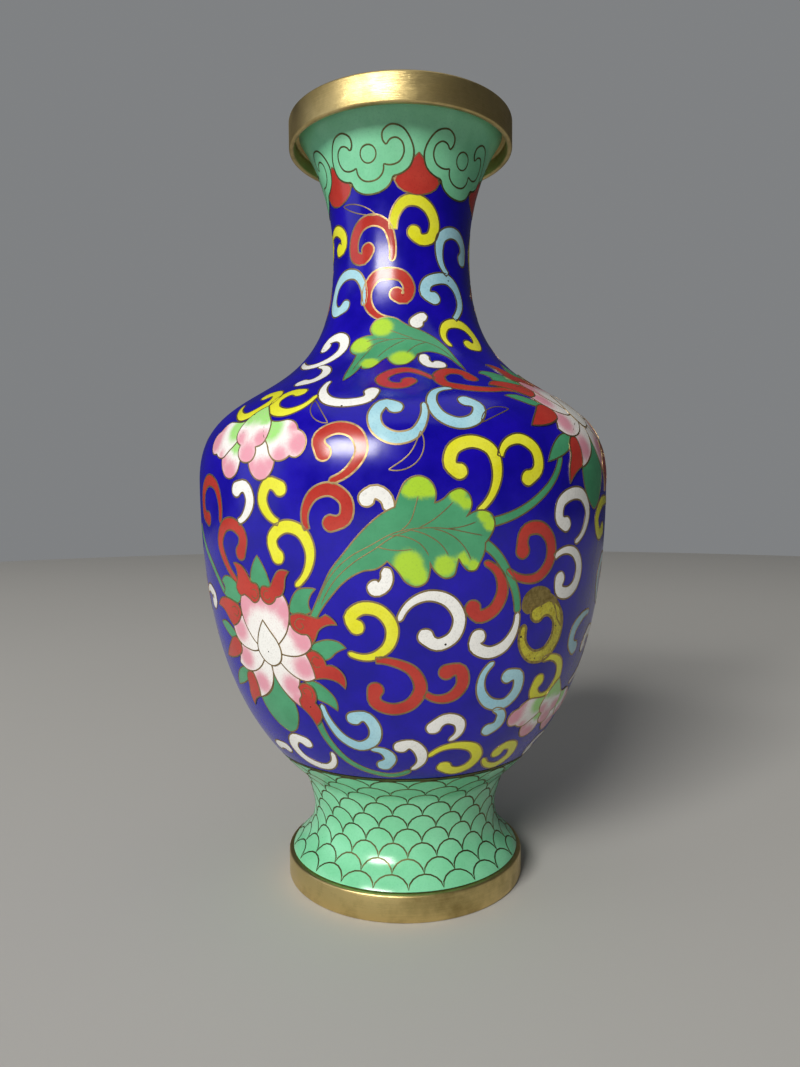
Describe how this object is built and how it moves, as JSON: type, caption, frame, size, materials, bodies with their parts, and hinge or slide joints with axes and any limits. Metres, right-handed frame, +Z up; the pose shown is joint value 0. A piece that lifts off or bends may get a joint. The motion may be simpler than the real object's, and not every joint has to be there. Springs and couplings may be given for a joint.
{
  "type": "cloisonne vase",
  "caption": "Baluster vase: copper body in brazed sections, wired enamel skins, brass rim and foot rings, recessed base, open mouth.",
  "frame": {"origin": "centre of the face the vase stands on", "axes": "+Z up along the turning axis, +X and +Y level"},
  "size_m": [0.1088, 0.1088, 0.203],
  "materials": {
    "brass": "satin brushed",
    "copper": "spun copper, bare",
    "silver_braze": "brazed joint",
    "cloison_wire": "ground flush and polished",
    "cobalt_enamel": "polished enamel, lightly pitted",
    "celadon_enamel": "polished enamel",
    "turquoise_enamel": "counter-enamel",
    "red_enamel": "polished enamel",
    "yellow_enamel": "polished enamel",
    "white_enamel": "polished enamel",
    "pale_blue_enamel": "polished enamel",
    "leaf_enamel": "polished enamel, shaded to lime",
    "pink_enamel": "polished enamel, shaded to white"
  },
  "bodies": {
    "root": {"rim_ring": "brass", "foot_ring": "brass", "neck_copper": "copper", "shoulder_copper": "copper", "belly_copper": "copper", "foot_copper": "copper", "base_disc": "copper", "neck_braze": "silver_braze", "belly_braze": "silver_braze", "foot_braze": "silver_braze", "collar_enamel": "celadon_enamel", "foot_enamel": "celadon_enamel", "ground_enamel": "cobalt_enamel", "inner_enamel": "turquoise_enamel", "foot_lining": "turquoise_enamel", "base_enamel": "turquoise_enamel", "collar_wire": "cloison_wire", "foot_wire": "cloison_wire"}
  },
  "joints": []
}
